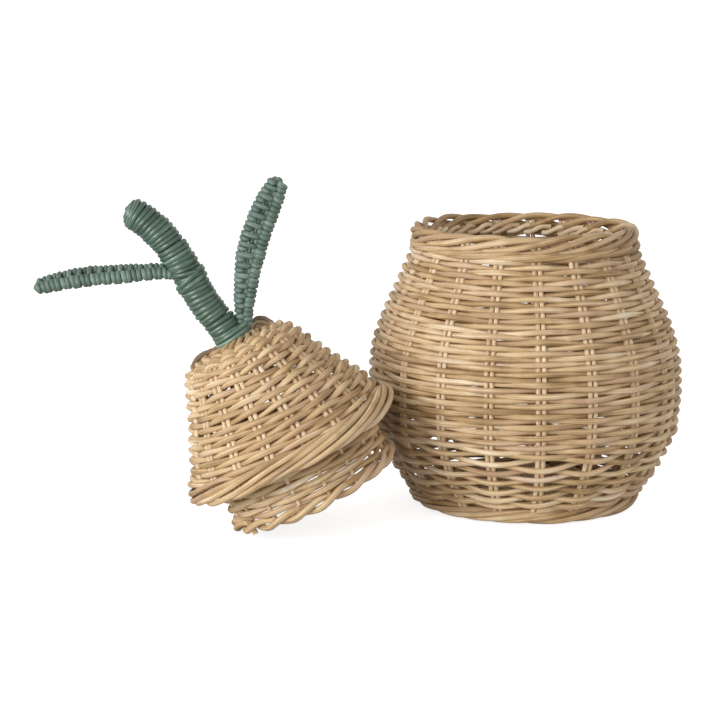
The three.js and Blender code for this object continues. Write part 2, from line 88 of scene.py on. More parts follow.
def cane_skin(name, shades, blush, roughness, stain, stain_share, gloss):
    """A skin of cane whose colour drifts along each strand.

    Blush tints some lengths of it, and stain marks dull spots.
    """
    skin = bpy.data.materials.new(name)
    skin.use_nodes = True
    tree = skin.node_tree
    tree.nodes.clear()
    along = add(tree, "ShaderNodeAttribute", attribute_name="along").outputs["Fac"]
    tone = add(tree, "ShaderNodeAttribute", attribute_name="tone").outputs["Fac"]
    copy = add(tree, "ShaderNodeAttribute", attribute_name="copy").outputs["Fac"]
    around = add(tree, "ShaderNodeAttribute", attribute_name="skin").outputs["Vector"]
    # Every strand reads the noise at a place of its own
    strand = add(tree, "ShaderNodeMath", {0: tone, 1: 37.0, 2: copy}, operation="MULTIPLY_ADD").outputs[0]
    strand = add(tree, "ShaderNodeMath", {0: copy, 1: 91.0, 2: strand}, operation="MULTIPLY_ADD").outputs[0]
    # One cane keeps a tone for some 80 mm, and changes a little every 15 mm
    far = add(tree, "ShaderNodeMath", {0: along, 1: 12.0}, operation="MULTIPLY").outputs[0]
    near = add(tree, "ShaderNodeMath", {0: along, 1: 65.0}, operation="MULTIPLY").outputs[0]
    far = add(tree, "ShaderNodeCombineXYZ", {"X": far, "Y": strand}).outputs[0]
    near = add(tree, "ShaderNodeCombineXYZ", {"X": near, "Y": strand, "Z": 7.0}).outputs[0]
    broad = add(tree, "ShaderNodeTexNoise", {"Vector": far, "Scale": 1.0, "Detail": 2.0}).outputs["Fac"]
    close = add(tree, "ShaderNodeTexNoise", {"Vector": near, "Scale": 1.0, "Detail": 3.0}).outputs["Fac"]
    # Fibres some 0.6 mm wide and 40 mm long; the real ones are a tenth as wide and would not show
    grain = add(tree, "ShaderNodeVectorMath", {0: around, 1: (2.5, 2.5, 0)}, operation="MULTIPLY").outputs[0]
    run = add(tree, "ShaderNodeMath", {0: along, 1: 24.0, 2: strand}, operation="MULTIPLY_ADD").outputs[0]
    run = add(tree, "ShaderNodeCombineXYZ", {"Z": run}).outputs[0]
    grain = add(tree, "ShaderNodeVectorMath", {0: grain, 1: run}, operation="ADD").outputs[0]
    fibre = add(tree, "ShaderNodeTexNoise", {"Vector": grain, "Scale": 1.0, "Detail": 4.0,
                                             "Roughness": 0.6}).outputs["Fac"]
    # The three noises together choose the shade
    mix = add(tree, "ShaderNodeMath", {0: broad, 1: 0.55}, operation="MULTIPLY").outputs[0]
    mix = add(tree, "ShaderNodeMath", {0: close, 1: 0.3, 2: mix}, operation="MULTIPLY_ADD").outputs[0]
    mix = add(tree, "ShaderNodeMath", {0: fibre, 1: 0.65, 2: mix}, operation="MULTIPLY_ADD").outputs[0]
    mix = add(tree, "ShaderNodeMapRange", {"Value": mix, "From Min": 0.575, "From Max": 0.935}).outputs[0]
    ramp = add(tree, "ShaderNodeValToRGB", {"Fac": mix})
    stops = ramp.color_ramp.elements
    stops[0].color = linear(shades[0])
    stops[1].color = linear(shades[-1])
    for index, shade in enumerate(shades[1:-1]):
        stops.new((index + 1) / (len(shades) - 1)).color = linear(shade)
    warm = add(tree, "ShaderNodeVectorMath", {0: far, 1: (1.3, 2.9, 0)}, operation="MULTIPLY").outputs[0]
    warm = add(tree, "ShaderNodeTexNoise", {"Vector": warm, "Scale": 1.0, "Detail": 1.0}).outputs["Fac"]
    warm = add(tree, "ShaderNodeMapRange", {"Value": warm, "From Min": 0.48, "From Max": 0.72,
                                            "To Max": 0.55}).outputs[0]
    tint = add(tree, "ShaderNodeMix", {0: warm, 6: ramp.outputs[0], 7: linear(blush)}, data_type="RGBA")
    spots = add(tree, "ShaderNodeVectorMath", {0: near, 1: (0.8, 1.7, 3.1)}, operation="MULTIPLY").outputs[0]
    spots = add(tree, "ShaderNodeTexNoise", {"Vector": spots, "Scale": 1.0, "Detail": 2.0}).outputs["Fac"]
    spots = add(tree, "ShaderNodeMapRange", {"Value": spots, "From Min": 0.6, "From Max": 0.76,
                                             "To Max": stain_share}).outputs[0]
    base = add(tree, "ShaderNodeMix", {0: spots, 6: tint.outputs[2], 7: linear(stain)}, data_type="RGBA")
    rough = add(tree, "ShaderNodeMapRange",
                {"Value": fibre, "From Min": 0.3, "From Max": 0.7, "To Min": roughness - 0.08,
                 "To Max": roughness + 0.1}).outputs[0]
    raised = add(tree, "ShaderNodeBump", {"Strength": 0.7, "Distance": 0.0003, "Height": fibre}).outputs[0]
    shader = add(tree, "ShaderNodeBsdfPrincipled", {"Base Color": base.outputs[2], "Roughness": rough,
                                                    "Normal": raised, "Specular IOR Level": gloss})
    add(tree, "ShaderNodeOutputMaterial", {"Surface": shader.outputs[0]})
    return skin


def cane_tree():
    """Lays a round cane along each path and repeats it round the axis.

    The canes are then made a little uneven, swayed and set in place.
    """
    tree = bpy.data.node_groups.new("cane laid along its path", "GeometryNodeTree")
    tree.interface.new_socket("Canes", in_out="OUTPUT", socket_type="NodeSocketGeometry")
    for name, kind in (("Paths", "Geometry"), ("Diameter", "Float"), ("Facets", "Int"), ("Copies", "Int"),
                       ("First copy", "Float"), ("Unevenness", "Float"), ("Uneven every", "Float"),
                       ("Seed", "Int"), ("Sway", "Vector"), ("Sway height", "Float"), ("Place", "Vector"),
                       ("Lean", "Vector"), ("Skin", "Material")):
        tree.interface.new_socket(name, in_out="INPUT", socket_type="NodeSocket" + kind)
    given = add(tree, "NodeGroupInput").outputs
    # The cane is a ring of facets drawn along its path
    curve = add(tree, "GeometryNodeMeshToCurve", {"Mesh": given["Paths"]}).outputs[0]
    length = add(tree, "GeometryNodeSplineParameter").outputs["Length"]
    curve = add(tree, "GeometryNodeStoreNamedAttribute", {"Geometry": curve, "Name": "along",
                                                          "Value": length},
                data_type="FLOAT", domain="POINT").outputs[0]
    thick = add(tree, "GeometryNodeInputNamedAttribute", {"Name": "thick"}, data_type="FLOAT").outputs[0]
    radius = add(tree, "ShaderNodeMath", {0: given["Diameter"], 1: 0.5}, operation="MULTIPLY").outputs[0]
    outline = add(tree, "GeometryNodeCurvePrimitiveCircle", {"Resolution": given["Facets"],
                                                             "Radius": radius}).outputs[0]
    spot = add(tree, "GeometryNodeInputPosition").outputs[0]
    facing = add(tree, "ShaderNodeVectorMath", {0: spot}, operation="NORMALIZE").outputs[0]
    outline = add(tree, "GeometryNodeStoreNamedAttribute", {"Geometry": outline, "Name": "skin",
                                                            "Value": facing},
                  data_type="FLOAT_VECTOR", domain="POINT").outputs[0]
    canes = add(tree, "GeometryNodeCurveToMesh", {"Curve": curve, "Profile Curve": outline, "Scale": thick,
                                                  "Fill Caps": True}).outputs[0]
    # Its copies stand evenly round the axis
    points = add(tree, "GeometryNodePoints", {"Count": given["Copies"]}).outputs[0]
    index = add(tree, "GeometryNodeInputIndex").outputs[0]
    step = add(tree, "ShaderNodeMath", {0: 2 * pi, 1: given["Copies"]}, operation="DIVIDE").outputs[0]
    turn = add(tree, "ShaderNodeMath", {0: index, 1: step, 2: given["First copy"]},
               operation="MULTIPLY_ADD").outputs[0]
    turn = add(tree, "ShaderNodeCombineXYZ", {"Z": turn}).outputs[0]
    turn = add(tree, "FunctionNodeEulerToRotation", {0: turn}).outputs[0]
    ring = add(tree, "GeometryNodeInstanceOnPoints", {"Points": points, "Instance": canes,
                                                      "Rotation": turn}).outputs[0]
    own = add(tree, "ShaderNodeMath", {0: index, 1: given["Seed"]}, operation="ADD").outputs[0]
    own = add(tree, "ShaderNodeTexWhiteNoise", {"W": own}, noise_dimensions="1D").outputs["Value"]
    ring = add(tree, "GeometryNodeStoreNamedAttribute", {"Geometry": ring, "Name": "copy", "Value": own},
               data_type="FLOAT", domain="INSTANCE").outputs[0]
    ring = add(tree, "GeometryNodeRealizeInstances", {"Geometry": ring}).outputs[0]
    # Handwork: everything wanders a little, and the whole sways more the higher it is
    where = add(tree, "GeometryNodeInputPosition").outputs[0]
    often = add(tree, "ShaderNodeMath", {0: 1.0, 1: given["Uneven every"]}, operation="DIVIDE").outputs[0]
    noise = add(tree, "ShaderNodeTexNoise", {"Vector": where, "W": given["Seed"], "Scale": often,
                                             "Detail": 1.0}, noise_dimensions="4D").outputs["Color"]
    noise = add(tree, "ShaderNodeVectorMath", {0: noise, 1: (0.5, 0.5, 0.5)}, operation="SUBTRACT").outputs[0]
    noise = add(tree, "ShaderNodeVectorMath", {0: noise, "Scale": given["Unevenness"]},
                operation="SCALE").outputs[0]
    height = add(tree, "ShaderNodeSeparateXYZ", {0: where}).outputs["Z"]
    height = add(tree, "ShaderNodeMath", {0: height, 1: given["Sway height"]}, operation="DIVIDE",
                 use_clamp=True).outputs[0]
    height = add(tree, "ShaderNodeMath", {0: height, 1: 2.0}, operation="POWER").outputs[0]
    sway = add(tree, "ShaderNodeVectorMath", {0: given["Sway"], "Scale": height},
               operation="SCALE").outputs[0]
    shift = add(tree, "ShaderNodeVectorMath", {0: noise, 1: sway}, operation="ADD").outputs[0]
    ring = add(tree, "GeometryNodeSetPosition", {"Geometry": ring, "Offset": shift}).outputs[0]
    # From the upright frame to where the basket stands or the lid leans
    lean = add(tree, "FunctionNodeEulerToRotation", {0: given["Lean"]}).outputs[0]
    ring = add(tree, "GeometryNodeTransform", {"Geometry": ring, "Translation": given["Place"],
                                               "Rotation": lean}).outputs[0]
    ring = add(tree, "GeometryNodeSetShadeSmooth", {"Geometry": ring}).outputs[0]
    ring = add(tree, "GeometryNodeRealizeInstances", {"Geometry": ring}).outputs[0]
    ring = add(tree, "GeometryNodeSetMaterial", {"Geometry": ring, "Material": given["Skin"]}).outputs[0]
    add(tree, "NodeGroupOutput", {0: ring})
    return tree


laying = cane_tree()


def lay_canes(name, paths, skin, diameter, body, nodes, settings):
    """Paths are (points in mm, closed, tone, thickness), in the upright frame of the basket or the lid."""
    mesh = bpy.data.meshes.new(name)
    points, edges, tones, thicks = [], [], [], []
    for path, closed, tone, thick in paths:
        first = len(points)
        points.extend((path / 1000).tolist())
        edges.extend((first + i, first + i + 1) for i in range(len(path) - 1))
        if closed:
            edges.append((first + len(path) - 1, first))
        tones.extend([tone] * len(path))
        thicks.extend(np.broadcast_to(thick, len(path)).tolist())
    mesh.from_pydata(points, edges, [])
    mesh.attributes.new("tone", "FLOAT", "POINT").data.foreach_set("value", tones)
    mesh.attributes.new("thick", "FLOAT", "POINT").data.foreach_set("value", thicks)
    piece = bpy.data.objects.new(name, mesh)
    bpy.context.scene.collection.objects.link(piece)
    modifier = piece.modifiers.new("cane", "NODES")
    modifier.node_group = laying
    values = {"Diameter": diameter / 1000, "Facets": 8, "Copies": 1, "First copy": 0.0, "Unevenness": 0.0,
              "Uneven every": 0.03, "Seed": 3, "Sway": (0, 0, 0), "Sway height": 1.0, "Skin": skin}
    values.update(settings)
    for item in laying.interface.items_tree:
        if item.in_out == "INPUT" and item.name in values:
            modifier[item.identifier] = values[item.name]
    solid = bpy.data.meshes.new_from_object(piece.evaluated_get(bpy.context.evaluated_depsgraph_get()))
    piece.modifiers.clear()
    piece.data = solid
    solid.name = name
    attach(piece, body)
    if nodes:
        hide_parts(*nodes)


def drift(x, seed, waves=6):
    """A smooth random value, mostly between -1 and 1, for each x."""
    dice = np.random.default_rng(seed)
    parts = [np.sin(x * dice.uniform(0.5, 2.2) + dice.uniform(0, 2 * pi)) for _ in range(waves)]
    return sum(parts) / waves ** 0.5


standing = {"Place": (axis_x, axis_y, 0), "Lean": (0, 0, 0), "Unevenness": 0.0022, "Uneven every": 0.045,
            "Seed": 11, "Sway": (-0.0016, 0, 0), "Sway height": 0.16}
# What rests on the floor is laid evenly, so that nothing dips into it
resting = {**standing, "Unevenness": 0.0}
# Freshly peeled core: the palest of the canes
pale_rattan = cane_skin("peeled rattan core, pale", ("a98c66", "d2b58c", "e6cfab", "f3e4ca"),
                        blush="d6b59b", roughness=0.5, stain="9a7850", stain_share=0.3, gloss=0.4)
base_stick = 2.6
base_reach = 57
base_rise = 4.4
dome = 1.5
arms = 16
cross_half = 9
fan_run = 14
arm = np.linspace(-1, 1, 41)
sticks = []
for group in (0, 1):
    for row in range(4):
        offset = (row - 1.5) * base_stick
        spread = (row - 1.5) * 2 * pi / arms
        out = np.abs(arm) * base_reach
        fan = np.clip((out - cross_half) / fan_run, 0, 1)
        angle = spread * (3 - 2 * fan) * fan ** 2
        across = np.where(out < cross_half, offset, offset + (out - cross_half) * np.sin(angle))
        fanned = cross_half + (out - cross_half) * np.cos(angle)
        forward = np.sign(arm) * np.where(out < cross_half, out, fanned)
        rise = base_rise + dome * (1 - np.hypot(across, forward) ** 2 / base_reach ** 2)
        rise = rise + (group - 0.5) * base_stick * (1 - fan)
        path = np.stack([forward, across, rise], 1) if group else np.stack([across, forward, rise], 1)
        sticks.append((path, False, 0.1 * row + 0.5 * group, 1.0))
lay_canes("base_sticks", sticks, pale_rattan, base_stick, "basket", ["base_cross_sticks"],
          resting)

# Base weave
# Two weavers twined round the sixteen arms from the cross outwards, in one long spiral each.
# The same pale cane as the sticks, a little thicker.
base_weaver = 2.9
twining_start = 12
twining_slip = 0.35
rounds = (base_reach - twining_start) / (base_weaver + 0.1)
passed = np.arange(0, rounds * arms, 1 / 6)
pairing = []
for side in (0, 1):
    away = twining_start + (base_reach - twining_start) * passed / passed[-1]
    bearing = 2 * pi * (passed + 0.5) / arms
    swing = (base_weaver + base_stick) / 2 * np.cos(pi * (passed + side))
    rise = base_rise + dome * (1 - away ** 2 / base_reach ** 2) + swing
    away = away + twining_slip * np.sin(pi * (passed + side))
    pairing.append((np.stack([away * np.cos(bearing), away * np.sin(bearing), rise], 1), False,
                    0.2 + 0.4 * side, 1 + 0.04 * drift(passed, 5 + side)))
lay_canes("base_twining", pairing, pale_rattan, base_weaver, "basket", ["base_weave"], resting)


# Side stakes
# Nineteen pairs of thin pale canes set round the base, bent up at the foot and drawn in to the neck.
# Only short lengths of them show, as pale double dots in the windows of the weave.
def smooth_line(corners, count=600, steps=40):
    """A smooth curve through the corners, in even spaces, and how far along it each point lies."""
    corners = np.array(corners, float)
    ends = np.vstack([2 * corners[0] - corners[1], corners, 2 * corners[-1] - corners[-2]])
    share = np.linspace(0, 1, steps, endpoint=False)[:, None]
    pieces = [0.5 * (2 * b + (c - a) * share + (2 * a - 5 * b + 4 * c - d) * share ** 2
                     + (3 * b - a - 3 * c + d) * share ** 3)
              for a, b, c, d in zip(ends, ends[1:], ends[2:], ends[3:])]
    line = np.vstack(pieces + [corners[-1:]])
    far = np.concatenate([[0], np.cumsum(np.linalg.norm(np.diff(line, axis=0), axis=1))])
    even = np.linspace(0, far[-1], count)
    return np.stack([np.interp(even, far, column) for column in line.T], 1), even


def inside_of(line, depth):
    """The curve that lies that deep behind an outline, and its outward directions."""
    slope = np.gradient(line, axis=0)
    slope /= np.hypot(*slope.T)[:, None]
    outward = np.stack([slope[:, 1], -slope[:, 0]], 1)
    return line - outward * depth, outward


def stake_pair(core, gap, wobble, seed):
    """Two stakes side by side up the wall, at a gap that changes a little with height."""
    pair = []
    for side in (-1, 1):
        across = side * (stake / 2 + gap + wobble * drift(core[:, 1] / 14, seed + side))
        pair.append((np.stack([core[:, 0], across, core[:, 1]], 1), False, 0.3 + 0.3 * side, 1.0))
    return pair


stake = 2.7
stake_pairs = 19
first_stake = radians(-88.3)
side_stake_depth = 3.7
side_line, side_far = smooth_line([(60.5, 1), (65.2, 4), (68.8, 8.3), (72.6, 14), (77.9, 22), (82.9, 32),
                                   (88.1, 45), (90.1, 60), (90.2, 76), (88.3, 92), (83.6, 106), (78.7, 118),
                                   (74.1, 128), (69.6, 138), (65.8, 147), (64.8, 154), (64.8, 157)])
side_core, side_out = inside_of(side_line, side_stake_depth)
lay_canes("side_stakes", stake_pair(side_core[::6], gap=0.16, wobble=0.12, seed=21), pale_rattan, stake,
          "basket", [f"side_stake_pair_{i + 1}" for i in range(stake_pairs)],
          {**standing, "Copies": stake_pairs, "First copy": first_stake})


# Foot border
# Thick rolled border at the foot: the cane ends run down, round and into one another, so that long
# diagonals rise to the right on its face.
def rolled_border(ends, passing, start, middle, width, height, tilt, seed, course, loose):
    """Each end winds once round the border while it passes that many others; course is (share, degrees)."""
    strands = []
    share = np.linspace(0, 1, 8 * round(passing) + 1)
    marks, turns = np.array(course, float).T
    turn = np.interp(share, marks, turns)
    ends_kept = np.concatenate([[turn[0]] * 4, turn, [turn[-1]] * 4])
    turn = np.radians(np.convolve(ends_kept, np.ones(9) / 9, "valid"))
    for index in range(ends):
        bearing = start + 2 * pi * (index + 0.12 * drift(index, seed) + passing * share) / ends
        slack = 1 + loose * drift(3 * share + index * 1.7, seed + index)
        out = width * np.cos(turn) * slack
        up = height * np.sin(turn) * slack
        radius = middle[0] + out * np.cos(tilt) + up * np.sin(tilt)
        level = middle[1] - out * np.sin(tilt) + up * np.cos(tilt)
        strands.append((np.stack([radius * np.cos(bearing), radius * np.sin(bearing), level], 1), False,
                        (index * 0.618) % 1, 1 + 0.05 * drift(4 * share + index, seed + 50 + index)))
    return strands


# The same peeled cane in a darker tan, a shaded copy of it: its colour is partly its own browner tan and
# partly painted shade
tan_rattan_with_painted_shade = cane_skin("peeled rattan core, tan with painted shade", ("7e613d", "ab8a5f", "c6a67b", "e2cca7"),
                          blush="b39277", roughness=0.5, stain="7d5c3a", stain_share=0.45, gloss=0.42)
border_cane = 3.3
foot_strands = rolled_border(stake_pairs, passing=4.4, start=first_stake, middle=(63.0, 4.9), width=2.4,
                             height=2.5, tilt=radians(33), seed=100,
                             course=[(0, -150), (0.2, -80), (0.68, 70), (1, 200)], loose=0.1)
# Laid in the darker tan cane, whose colour is partly painted shade
lay_canes("foot_rolled_border", foot_strands, tan_rattan_with_painted_shade, border_cane, "basket", ["foot_border"],
          resting)


# Side weave
# One weaver runs round and round in front of one pair of stakes and behind the next. Nineteen is odd,
# so each round goes the other way about from the one below. The rows are loosest just above the foot.
def randing(far, core, outward, rows, stakes, start, swing, wander, seed, steps=8):
    """The path of a single weaver; rows gives the place of each round along the wall."""
    passed = np.arange(0, (len(rows) - 1) * stakes + 1e-6, 1 / steps)
    turns = passed / stakes
    bearing = start + 2 * pi * turns
    place = np.interp(turns, np.arange(len(rows)), rows)
    place = place + np.interp(place, far, wander) * drift(7 * np.sin(bearing + 0.6) + turns * 1.3, seed)
    sway = np.interp(place, far, swing) * np.cos(pi * passed) * (1 + 0.06 * drift(passed, seed + 1))
    radius = np.interp(place, far, core[:, 0]) + sway * np.interp(place, far, outward[:, 0])
    level = np.interp(place, far, core[:, 1]) + sway * np.interp(place, far, outward[:, 1])
    thick = 1 + 0.05 * np.cos(2 * pi * passed) + 0.04 * drift(passed / 4, seed + 2)
    return np.stack([radius * np.cos(bearing), radius * np.sin(bearing), level], 1), thick


def row_places(line, far, low, high, pitches):
    """Where along the wall each round lies, from heights and row pitches given as (height, pitch)."""
    heights, pitch = np.array(pitches, float).T
    first = np.interp(low, line[:, 1], far)
    last = np.interp(high, line[:, 1], far)
    along = np.linspace(first, last, 2000)
    each = np.interp(np.interp(along, far, line[:, 1]), heights, pitch)
    count = np.concatenate([[0], np.cumsum(np.diff(along) / each[1:])])
    return np.interp(np.arange(int(count[-1]) + 1) * count[-1] / int(count[-1]), count, along)


# The commonest cane here: peeled core gone honey-coloured in the light
honey_rattan = cane_skin("peeled rattan core, honey", ("8d704a", "bd9c70", "dabe94", "f2e2c6"),
                         blush="c6a48a", roughness=0.48, stain="8a6842", stain_share=0.45, gloss=0.42)
weaver = 3.35
side_rows = row_places(side_line, side_far, 7.6, 147.2,
                       [(0, 2.6), (11, 2.6), (16, 3.5), (38, 3.5), (48, 2.9), (96, 2.9), (112, 3.0),
                        (138, 3.0), (142, 2.7), (160, 2.7)])
side_wander = np.interp(side_line[:, 1], [0, 10, 20, 40, 55, 160], [0.1, 0.5, 1.1, 0.8, 0.25, 0.25])
side_swing = np.interp(side_line[:, 1], [0, 14, 20, 42, 52, 160], [1.9, 1.9, 2.4, 2.4, 1.95, 1.95])
path, thick = randing(side_far, side_core, side_out, side_rows, stake_pairs, first_stake, side_swing,
                      side_wander, seed=40)
thick = thick * np.interp(path[:, 2], [14, 20, 42, 52], [1, 0.93, 0.93, 1])
lay_canes("side_weaver", [(path, False, 0.4, thick)], honey_rattan, weaver, "basket", ["side_weave"],
          standing)


# Rim wale
# Three weavers twisted round under the rim, each in front of two pairs of stakes and behind the third.
# Cane of the side's thickness in the darker tan, whose colour is partly painted shade.
def wale(stakes, start, middle, swing, climb, steps=8):
    """Three rounds of one closed path, which is what three such weavers make."""
    passed = np.arange(0, 3 * stakes, 1 / steps)
    phase = passed % 3
    out = np.interp(phase, [0, 0.5, 1, 1.5, 2, 2.5, 3], [-1, 0, 0.9, 1.05, 0.9, 0, -1]) * swing
    up = np.interp(phase, [0, 0.45, 1.5, 2.55, 3], [0, -1, 0, 1, 0]) * climb
    bearing = start + 2 * pi * passed / stakes
    radius = middle[0] + out
    return np.stack([radius * np.cos(bearing), radius * np.sin(bearing), middle[1] + up], 1)


twist = wale(stake_pairs, first_stake, middle=(61.4, 149.3), swing=2.7, climb=1.8)
lay_canes("rim_twist", [(twist, True, 0.7, 1.0)], tan_rattan_with_painted_shade, weaver, "basket", ["rim_wale"],
          standing)

# Rim border
# The stake ends turned down to the right and rolled over the rim, with the scalloped top edge that leaves.
# Each ends with one more stroke on the inside, where its cut end lies.
rim_cane = 3.5
rim_strands = rolled_border(stake_pairs, passing=4.1, start=first_stake, middle=(60.6, 155.0), width=2.9,
                            height=3.7, tilt=0.0, seed=200,
                            course=[(0, -140), (0.1, -90), (0.6, 60), (0.78, 120), (1, 240)], loose=0.16)
# Laid in the darker tan cane, whose colour is partly painted shade
lay_canes("rim_rolled_border", rim_strands, tan_rattan_with_painted_shade, rim_cane, "basket", ["rim_border"],
          standing)
inner_cane = 3.0
inner_ends = rolled_border(2 * stake_pairs, passing=1.7, start=first_stake + 0.1, middle=(58.4, 150.4),
                           width=1.6, height=2.3, tilt=0.0, seed=300, course=[(0, 70), (1, 270)], loose=0.16)
# Palest cane for the inner ends: partly their own colour, partly painted light on the rim's shaded inside
lay_canes("rim_inner_ends", inner_ends, pale_rattan, inner_cane, "basket", [], standing)

# Lid stakes
# Seventeen pairs of stakes run up the cone of the lid and are gathered in round the foot of the stem.
# The same thin pale cane as in the side; the cone has been pressed a little towards the left at its top.
lid_aside = 0.131066
lid_forward = 0.067938
lid_rise = 0.044248
lid_lean = -27.1
leaning = {"Place": (axis_x - lid_aside, axis_y - lid_forward, lid_rise), "Lean": (0, radians(lid_lean), 0),
           "Unevenness": 0.0022, "Uneven every": 0.04, "Seed": 29}
cone = {**leaning, "Sway": (-0.0025, 0, 0), "Sway height": 0.066}
lid_pairs = 17
first_lid_stake = radians(-96.5)
lid_stake_depth = 3.6
lid_line, lid_far = smooth_line([(64.4, 1), (61.3, 5), (58.6, 10), (55.6, 18), (50.8, 28), (45.2, 38),
                                 (40.4, 48), (37.0, 55), (34.2, 61), (30.3, 65.2), (25.2, 67.9),
                                 (19.3, 68.9), (14.5, 68.0)])
lid_core, lid_out = inside_of(lid_line, lid_stake_depth)
lay_canes("lid_stakes", stake_pair(lid_core[36::6], gap=0.14, wobble=0.1, seed=61), pale_rattan, stake,
          "lid", [f"lid_stake_pair_{i + 1}" for i in range(lid_pairs)],
          {**cone, "Copies": lid_pairs, "First copy": first_lid_stake})

# Lid weave
# The same weave as the body, in the same honey-coloured cane, round and round up the cone.
# One open round lies three quarters of the way up, where the stakes show longer.
lid_rows = row_places(lid_line, lid_far, 10.4, 68.8,
                      [(0, 2.95), (50, 2.95), (51.5, 4.0), (54, 4.0), (55.5, 2.95), (80, 2.9)])
lid_wander = np.full(len(lid_line), 0.4)
lid_swing = np.full(len(lid_line), 1.95)
path, thick = randing(lid_far, lid_core, lid_out, lid_rows, lid_pairs, first_lid_stake, lid_swing,
                      lid_wander, seed=70)
lay_canes("lid_weaver", [(path, False, 0.6, thick)], honey_rattan, weaver, "lid", ["lid_weave"],
          cone)

# Lid edge
# A border rolled from the stake ends, of honey-coloured cane.
# Its ends lie in long flat diagonals, four or five of them side by side on its face.
edge_strands = rolled_border(lid_pairs, passing=5.4, start=first_lid_stake, middle=(58.8, 5.8), width=2.4,
                             height=4.7, tilt=radians(-24), seed=400,
                             course=[(0, -195), (0.14, -90), (0.78, 75), (1, 190)], loose=0.15)
lay_canes("lid_rolled_edge", edge_strands, honey_rattan, border_cane, "lid", ["lid_edge_border"],
          leaning)

# Lid crown
# The stake ends bent over one another low round the foot of the stem, and a few loose ends of darker,
# greyish-brown cane that stand up in arcs beside it.
crown_cane = 2.7
crown_strands = rolled_border(lid_pairs, passing=2.6, start=first_lid_stake, middle=(12.2, 67.5), width=2.2,
                              height=1.4, tilt=0.0, seed=500, course=[(0, -150), (1, 205)], loose=0.2)
# Laid in the darker tan cane, whose colour is partly painted shade
lay_canes("lid_crown_ring", crown_strands, tan_rattan_with_painted_shade, crown_cane, "lid", ["lid_crown"],
          cone)
# A dull cane of a dark greyish brown, darker than the rest
dark_greyish_rattan = cane_skin("dull rattan, dark greyish brown", ("66533f", "87715a", "a38c72", "bfaa90"),
                      blush="87715f", roughness=0.6, stain="4a3c32", stain_share=0.4, gloss=0.3)
arc_cane = 2.9
arc_corners = ([(-7, -4, 66.5), (-11, -4, 69.4), (-16, -3.5, 70.6), (-20.5, -3, 69.8), (-24, -2.5, 67.6),
                (-26, -2, 63)],
               [(11, 3, 69), (13.5, 4, 72), (17, 5, 73.2), (20.5, 5, 71.4), (23, 5, 67)],
               [(10, -3, 69), (13, -1.5, 71.2), (16, 0.5, 71.8), (19, 1, 70.4), (22, 1, 67)])


def along_rows(rows, place):
    """Rows read between their whole numbers."""
    return np.stack([np.interp(place, np.arange(len(rows)), column) for column in rows.T], 1)


arcs = []
for corners in arc_corners:
    arc = along_rows(np.array(corners, float), np.linspace(0, len(corners) - 1, 24))
    arc[1:-1] = (arc[:-2] + 2 * arc[1:-1] + arc[2:]) / 4
    arcs.append((arc, False, 0.3, 0.9))
lay_canes("lid_crown_arcs", arcs, dark_greyish_rattan, arc_cane, "lid", [], cone)


# Collar stakes and border
# Single thin stakes tied in under the lid, which turn down, pass in front of the next and end inside. The
# collar is pressed a little shorter at the left, where it stands on the floor.
def let_down(path):
    """Lowers the collar, except at the side it stands on."""
    away = (1 - path[:, 0] / np.hypot(path[:, 0], path[:, 1])) / 2
    path[:, 2] -= let_down_by * (1 - away ** 3) * np.clip((8 - path[:, 2]) / 28, 0, 1)
    return path


let_down_by = 1.8
collar_stake = 2.4
collar_border_cane = 3.7
stakes_up = np.linspace(-21.5, 17, 14)
upright = np.stack([np.full(14, 45.0), np.zeros(14), stakes_up], 1)
lay_canes("collar_stakes", [(upright, False, 0.4, 1.0)], pale_rattan, collar_stake, "lid", [],
          {**leaning, "Copies": lid_pairs, "First copy": first_lid_stake})
scallops = rolled_border(lid_pairs, passing=2.0, start=first_lid_stake, middle=(46.3, -21.6), width=2.0,
                         height=2.1, tilt=0.0, seed=600,
                         course=[(0, -190), (0.25, -75), (0.75, 75), (1, 190)], loose=0.1)
for strand in scallops:
    let_down(strand[0])
# One cut end sticks out below the border
stub_bearing = radians(-139)
stub = np.array([[47.2 * np.cos(stub_bearing), 47.2 * np.sin(stub_bearing), level]
                 for level in (-18, -21, -23.5, -25.9)])
lay_canes("collar_border", scallops + [(stub, False, 0.2, 0.8)], honey_rattan, collar_border_cane, "lid",
          ["collar_stakes_and_border"], leaning)

# Collar weave
# A few rounds of honey-coloured cane close under the lid, woven over and under the single stakes.
# Light shows only between the lowest of them and the border.
collar_cane = 3.4
collar_line, collar_far = smooth_line([(48.4, -26), (48.5, -10), (48.5, 0), (48.2, 18)])
collar_mid, collar_out = inside_of(collar_line, 3.5)
collar_rows = row_places(collar_line, collar_far, -19.6, 8, [(-30, 2.9), (20, 2.9)])
path, thick = randing(collar_far, collar_mid, collar_out, collar_rows, lid_pairs, first_lid_stake,
                      np.full(len(collar_line), 1.75), np.full(len(collar_line), 0.15), seed=80)
lay_canes("collar_weaver", [(let_down(path), False, 0.5, thick)], honey_rattan, collar_cane, "lid",
          ["collar_weave"], leaning)


# Stem sticks
# A bundle of seven sticks stands in the crown and bends over at the tip; the winding hides it.
# Painted like the winding.
def space_curve(corners, count):
    """A smooth line through the corners, its directions and its length."""
    line, even = smooth_line(corners, count, steps=60)
    along = np.gradient(line, axis=0)
    along /= np.linalg.norm(along, axis=1)[:, None]
    return line, along, even[-1]
